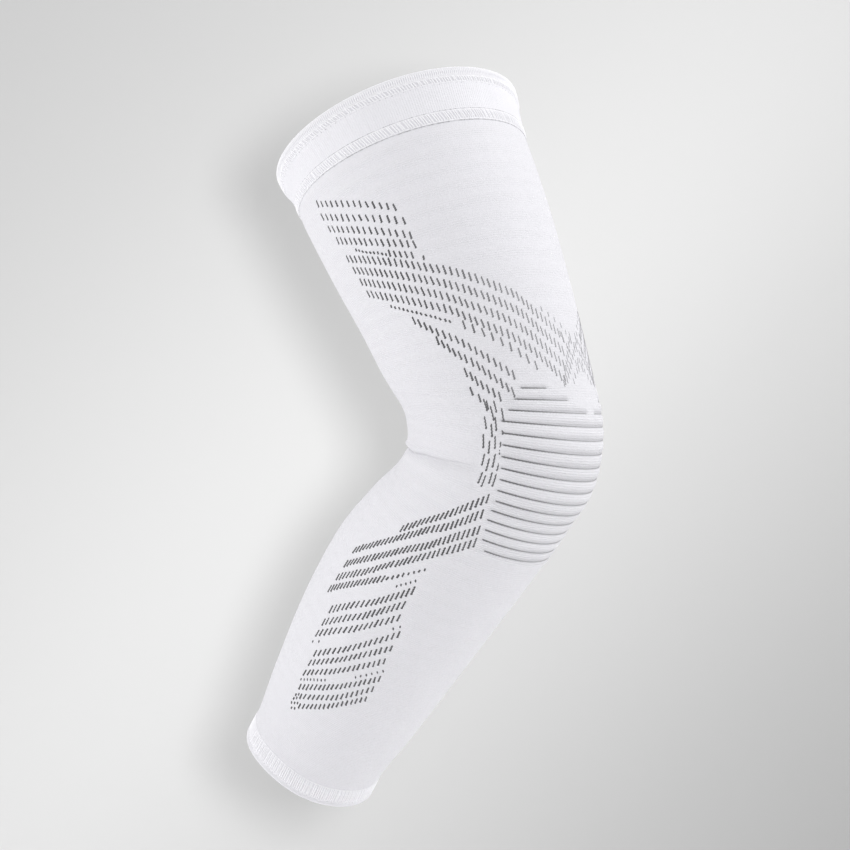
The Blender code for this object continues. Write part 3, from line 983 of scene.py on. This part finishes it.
def hem_stitching():
    """The stitching that holds the hem's upper edge."""
    low, high = HEM_STRIP[:2]
    strip_bed("hem_bed", HEM_STRIP, "hem_seam_stitch")
    slanted_threads("hem_threads", HEM_STRIP, low, high, HEM_STITCHES, 0.003, 0.42 * MM)
    edge_lumps("hem_edge", HEM_STRIP, ((low, HEM_STITCHES, 0.28 * MM), (high, HEM_STITCHES, 0.44 * MM)))
    # Dots of painted shade below the hem's stitching
    painted_shade_marks("hem_painted_shade_dots", (low - 0.3 * MM,), HEM_STITCHES, 0.50 * MM, 0.16 * MM)


knitted_tube()
knee_stripes()
knit_dashes()
band_cloth()
hem_cloth()
rim_stitching()
seam_stitching()
hem_stitching()


# Camera, lights and backdrop

# Painted light across the backdrop's diagonal, from the top left corner of the photograph to the bottom
# right, and the shares of it that the wall reflects and gives off as its own glow
BACKDROP_SPAN = 3.2
BACKDROP_STEPS = (
    (0.0, 0.65), (0.20, 0.69), (0.36, 0.77), (0.49, 0.805), (0.62, 0.70), (0.80, 0.55), (1.0, 0.46),
)
BACKDROP_ALBEDO = 0.35
BACKDROP_GLOW = 0.40

# How much the painted light along the diagonal brightens towards its ends
BACKDROP_ENDS = 0.10

# Backdrop's shape: half its width, its distance behind the knee, its top, the floor under it, the sweep's
# radius and where the floor ends in front
WALL_SIDE = 2.4
WALL_AWAY = 1.2
WALL_TOP = 1.6
FLOOR_HEIGHT = -1.05
SWEEP_RADIUS = 0.30
FLOOR_FRONT = -2.5
FLOOR_GREY = 0.74

# Height where the wall starts to turn into the floor's grey, and how far down it has turned
FLOOR_BLEND_TOP = -0.75
FLOOR_BLEND = 0.2

# Strength of the surroundings before and behind the sleeve
WORLD_FRONT = 0.87
WORLD_BACK = 1.25

# Lights: width and height of the soft boxes and of the small light for the drop shadow, and their watts
SOFTBOX_SIZE = (0.9, 1.5)
SHADOW_LIGHT_SIZE = (0.058, 0.058)
LEFT_WATTS = 3.8
RIGHT_WATTS = 5.5
SHADOW_WATTS = 32.0

RIGHT = Vector((math.cos(CAMERA_AZIMUTH), math.sin(CAMERA_AZIMUTH), 0))
FORWARD = Vector((-math.sin(CAMERA_AZIMUTH), math.cos(CAMERA_AZIMUTH), 0))
UP = Vector((0, 0, 1))


def stage_place(right, up, forward):
    """A point this far from the knee to the camera's right, up, and away from the camera."""
    return RIGHT * right + UP * up + FORWARD * forward


def add_camera():
    """The photograph's camera, level, with the knee at its pixel."""
    data = bpy.data.cameras.new("camera")
    data.sensor_width = SENSOR_MM
    data.lens = FOCAL_PIXELS / FRAME_PIXELS * SENSOR_MM
    camera = add_object("camera", data)
    metres_per_pixel = CAMERA_DISTANCE / FOCAL_PIXELS
    knee_right, knee_down = ((pixel - FRAME_PIXELS / 2) * metres_per_pixel for pixel in KNEE_PIXEL)
    camera.location = stage_place(-knee_right, knee_down, -CAMERA_DISTANCE)
    camera.rotation_euler = FORWARD.to_track_quat("-Z", "Y").to_euler()
    bpy.context.scene.camera = camera


def add_light(name, place, target, size, watts):
    """A rectangular area light at this place that shines towards the target."""
    data = bpy.data.lights.new(name, "AREA")
    data.shape = "RECTANGLE"
    data.size, data.size_y = size
    data.energy = watts
    light = add_object(name, data)
    light.location = place
    light.rotation_euler = (target - place).to_track_quat("-Z", "Y").to_euler()
    light.visible_camera = False
    return light


def backdrop_material():
    """Pale grey that glows with painted light, lightest along one diagonal of the photograph and darker to
    both corners beside it.
    """
    nodes = Nodes("backdrop")
    split = nodes.add("ShaderNodeSeparateXYZ")
    nodes.plug(split.inputs[0], nodes.position())
    across, height = split.outputs[0], split.outputs[1]
    diagonal = nodes.math("SUBTRACT", across, height)
    ramp = nodes.add("ShaderNodeValToRGB")
    ramp.color_ramp.interpolation = "B_SPLINE"
    for place, value in BACKDROP_STEPS[1:-1]:
        ramp.color_ramp.elements.new(place)
    for element, (place, value) in zip(ramp.color_ramp.elements, BACKDROP_STEPS):
        element.position, element.color = place, grey(value)
    nodes.plug(ramp.inputs[0], nodes.math("ADD", nodes.times(diagonal, 1 / BACKDROP_SPAN), 0.5))
    along_band = nodes.math("ADD", across, height)
    far = nodes.times(nodes.times(along_band, along_band), BACKDROP_ENDS)
    colour = nodes.mix(nodes.math("MINIMUM", far, 0.5), ramp.outputs[0], grey(1.0))
    below_blend = nodes.math("SUBTRACT", FLOOR_BLEND_TOP, height)
    low = nodes.within_one(nodes.times(below_blend, 1 / FLOOR_BLEND))
    wall_base = nodes.mix(1 - BACKDROP_ALBEDO, colour, grey(0.0))
    nodes.put("Base Color", nodes.mix(low, wall_base, grey(FLOOR_GREY)))
    # Glow: painted light that the backdrop and floor give off by themselves
    nodes.put("Emission Color", nodes.mix(low, colour, grey(0.1)))
    nodes.put("Emission Strength", BACKDROP_GLOW)
    nodes.put("Roughness", 0.9)
    nodes.put("Specular IOR Level", 0.0)
    return nodes.material


def add_backdrop():
    """A wall far behind the sleeve that sweeps into a floor below the view."""
    bend_away, bend_height = WALL_AWAY - SWEEP_RADIUS, FLOOR_HEIGHT + SWEEP_RADIUS
    section = [(WALL_AWAY, WALL_TOP), (WALL_AWAY, bend_height)]
    section += [(bend_away + SWEEP_RADIUS * math.cos(t), bend_height - SWEEP_RADIUS * math.sin(t))
                for t in np.radians(range(5, 90, 5))]
    section += [(bend_away, FLOOR_HEIGHT), (FLOOR_FRONT, FLOOR_HEIGHT)]
    count = len(section)
    points = [stage_place(side, height, away) for side in (-WALL_SIDE, WALL_SIDE) for away, height in section]
    faces = [(i, i + 1, count + i + 1, count + i) for i in range(count - 1)]
    mesh = bpy.data.meshes.new("backdrop")
    frame_matrix = Matrix((RIGHT, UP, -FORWARD)).transposed().to_4x4()
    mesh.from_pydata([frame_matrix.inverted() @ point for point in points], [], faces)
    mesh.shade_smooth()
    mesh.materials.append(backdrop_material())
    backdrop = add_object("backdrop", mesh)
    backdrop.matrix_world = frame_matrix
    return backdrop


def add_world():
    """Pale surroundings, dimmer in front of the sleeve than behind it."""
    world = bpy.data.worlds.new("world")
    world.use_nodes = True
    tree = world.node_tree
    turn = tree.nodes.new("ShaderNodeVectorMath")
    turn.operation = "DOT_PRODUCT"
    turn.inputs[1].default_value = FORWARD
    tree.links.new(tree.nodes.new("ShaderNodeTexCoord").outputs["Generated"], turn.inputs[0])
    strength = tree.nodes.new("ShaderNodeMapRange")
    ranges = {"From Min": -1, "From Max": 1, "To Min": WORLD_FRONT, "To Max": WORLD_BACK}
    for socket, value in ranges.items():
        strength.inputs[socket].default_value = value
    tree.links.new(turn.outputs["Value"], strength.inputs["Value"])
    tree.links.new(strength.outputs[0], tree.nodes["Background"].inputs["Strength"])
    tree.nodes["Background"].inputs["Color"].default_value = (1, 1, 1, 1)
    bpy.context.scene.world = world


def light_only(light, lit):
    """The light reaches this object alone. Any object still casts its shadow."""
    receivers = bpy.data.collections.new(light.name + "_receivers")
    receivers.objects.link(lit)
    light.light_linking.receiver_collection = receivers


def add_lights(backdrop):
    """A soft box on each side, and a small light beside the camera for the drop shadow on the backdrop."""
    sleeve = stage_place(-0.04, 0, 0)
    add_light("left_softbox", stage_place(-1.15, 0.10, -0.12), sleeve, SOFTBOX_SIZE, LEFT_WATTS)
    add_light("right_softbox", stage_place(0.95, 0.65, -0.12), sleeve, SOFTBOX_SIZE, RIGHT_WATTS)
    beside_camera, wall = stage_place(0.001, 0.029, -CAMERA_DISTANCE), stage_place(-0.05, 0, WALL_AWAY)
    light_only(add_light("shadow_light", beside_camera, wall, SHADOW_LIGHT_SIZE, SHADOW_WATTS), backdrop)


add_camera()
stage_backdrop = add_backdrop()
add_world()
add_lights(stage_backdrop)
bpy.context.scene.view_settings.view_transform = "Standard"
